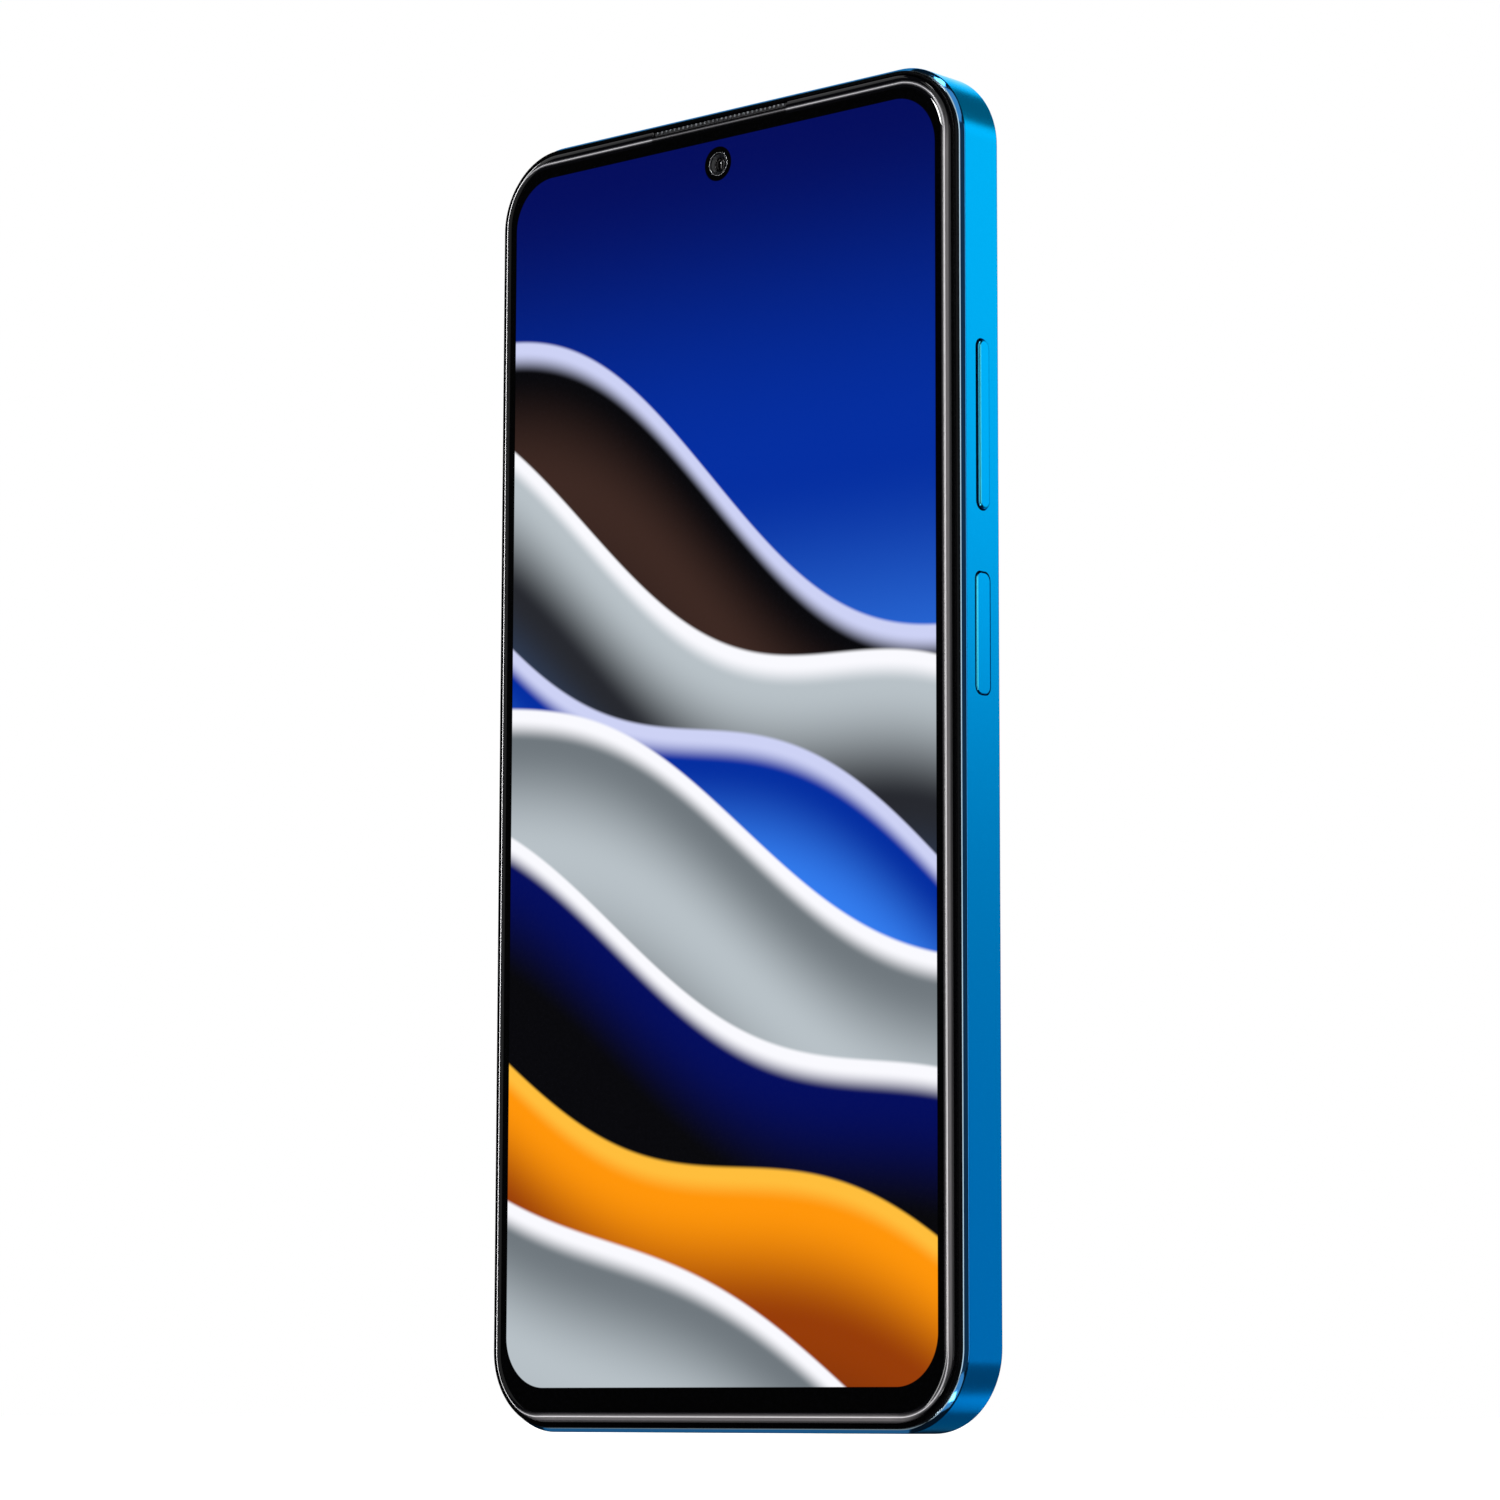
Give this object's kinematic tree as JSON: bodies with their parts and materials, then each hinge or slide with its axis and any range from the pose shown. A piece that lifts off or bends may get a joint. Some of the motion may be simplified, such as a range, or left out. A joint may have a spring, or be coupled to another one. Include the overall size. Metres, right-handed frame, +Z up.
{
  "type": "smartphone",
  "caption": "Bar-type smartphone with a flat full-face screen, chamfered blue side frame, side keys, card tray and rear camera island.",
  "frame": {"origin": "middle of the bottom edge, half-way through the body's thickness; the rear camera island and the volume rocker stand proud of the body, so the whole box's middle is 0.75 mm towards +Y and 0.18 mm towards +X of it", "axes": "+Z up along the phone's height, -Y out of the screen, +Y out of the back, +X towards the side with the keys"},
  "size_m": [0.0764, 0.0096, 0.1642],
  "materials": {
    "blue_frame": "satin metallic blue with polished chamfer",
    "blue_keys": "satin metallic blue",
    "blue_back": "gloss, colour layer under a clear coat",
    "island_metal": "satin metallic blue",
    "black_bezel": "fine satin moulding",
    "screen_glass": "polished, black border printed behind, lit picture behind the middle",
    "panel": "gloss",
    "alloy": "cast and milled",
    "lens_glass": "polished, dark coating",
    "lens_barrel": "black, gloss lens faces",
    "diffuser": "frosted, pale yellow",
    "steel": "stamped sheet",
    "copper": "bright sheet",
    "circuit_board": "solder resist",
    "flex": "polyimide film",
    "battery_wrap": "black laminated pouch film",
    "black_plastic": "moulded",
    "rubber": "matt"
  },
  "bodies": {
    "body": {"side_frame": "blue_frame", "front_bezel": "black_bezel", "cover_glass": "screen_glass", "display_panel": "panel", "midplate": "alloy", "rear_cover": "blue_back", "rear_cover_adhesive": "rubber", "camera_island": "island_metal", "main_camera_window": "lens_glass", "wide_camera_window": "lens_glass", "macro_camera_window": "lens_glass", "flash_lens": "diffuser", "flash_led": "diffuser", "main_camera_housing": "lens_barrel", "wide_camera": "lens_barrel", "macro_camera": "lens_barrel", "front_camera": "lens_barrel", "side_key_flex": "flex", "sim_reader": "steel", "main_board": "circuit_board", "heat_spreader": "copper", "sub_board": "circuit_board", "processor_shield": "steel", "radio_shield": "steel", "power_shield": "steel", "usb_port_shell": "steel", "usb_port_tongue": "black_plastic", "main_microphone": "steel", "top_microphone": "steel", "battery": "battery_wrap", "battery_flex": "flex", "board_link_flex": "flex", "display_flex": "flex", "coax_cable": "black_plastic", "earpiece_speaker": "black_plastic", "earpiece_mesh": "steel", "loudspeaker": "black_plastic", "loudspeaker_mesh": "steel", "vibration_motor_case": "steel", "audio_jack": "black_plastic", "ir_emitter": "lens_barrel", "upper_bracket": "black_plastic", "lower_bracket": "black_plastic", "upper_screw_1": "steel", "upper_screw_2": "steel", "upper_screw_3": "steel", "upper_screw_4": "steel", "lower_screw_1": "steel", "lower_screw_2": "steel", "lower_screw_3": "steel", "lower_screw_4": "steel"},
    "volume_key": {"volume_rocker": "blue_keys"},
    "power_key": {"power_key": "blue_keys"},
    "card_tray": {"sim_tray": "blue_keys", "sim_tray_seal": "rubber"},
    "eject_rod": {"eject_rod": "steel"},
    "eject_lever": {"eject_lever": "steel"},
    "vibration_mass": {"vibration_motor_mass": "steel"},
    "focus_lens": {"main_camera_lens": "lens_barrel"}
  },
  "joints": [
    {"name": "volume_rocker_tilt", "type": "hinge", "parent": "body", "child": "volume_key", "pos_m": [0.0366, 0.00086, 0.11935], "axis": [0, 1, 0], "range_deg": [-1.2, 1.2], "stiffness_Nm_per_rad": 0.3},
    {"name": "power_key_press", "type": "slide", "parent": "body", "child": "power_key", "axis": [-1, 0, 0], "range_m": [0, 0.00025], "stiffness_N_per_m": 4000},
    {"name": "card_tray_slide", "type": "slide", "parent": "body", "child": "card_tray", "axis": [-1, 0, 0], "range_m": [0, 0.027]},
    {"name": "eject_rod_push", "type": "slide", "parent": "body", "child": "eject_rod", "axis": [1, 0, 0], "range_m": [0, 0.0015]},
    {"name": "eject_lever_turn", "type": "hinge", "parent": "body", "child": "eject_lever", "pos_m": [-0.0083, 0.0005, 0.1285], "axis": [0, 1, 0], "range_deg": [0, 11.5]},
    {"name": "vibration_mass_shake", "type": "slide", "parent": "body", "child": "vibration_mass", "axis": [0, 1, 0], "range_m": [-0.00025, 0.00025], "stiffness_N_per_m": 500},
    {"name": "main_lens_focus", "type": "slide", "parent": "body", "child": "focus_lens", "axis": [0, 1, 0], "range_m": [0, 0.0003], "stiffness_N_per_m": 100}
  ],
  "couplings": [
    {"joint": "eject_lever_turn", "follows": "eject_rod_push", "rad_per_m": 133}
  ]
}
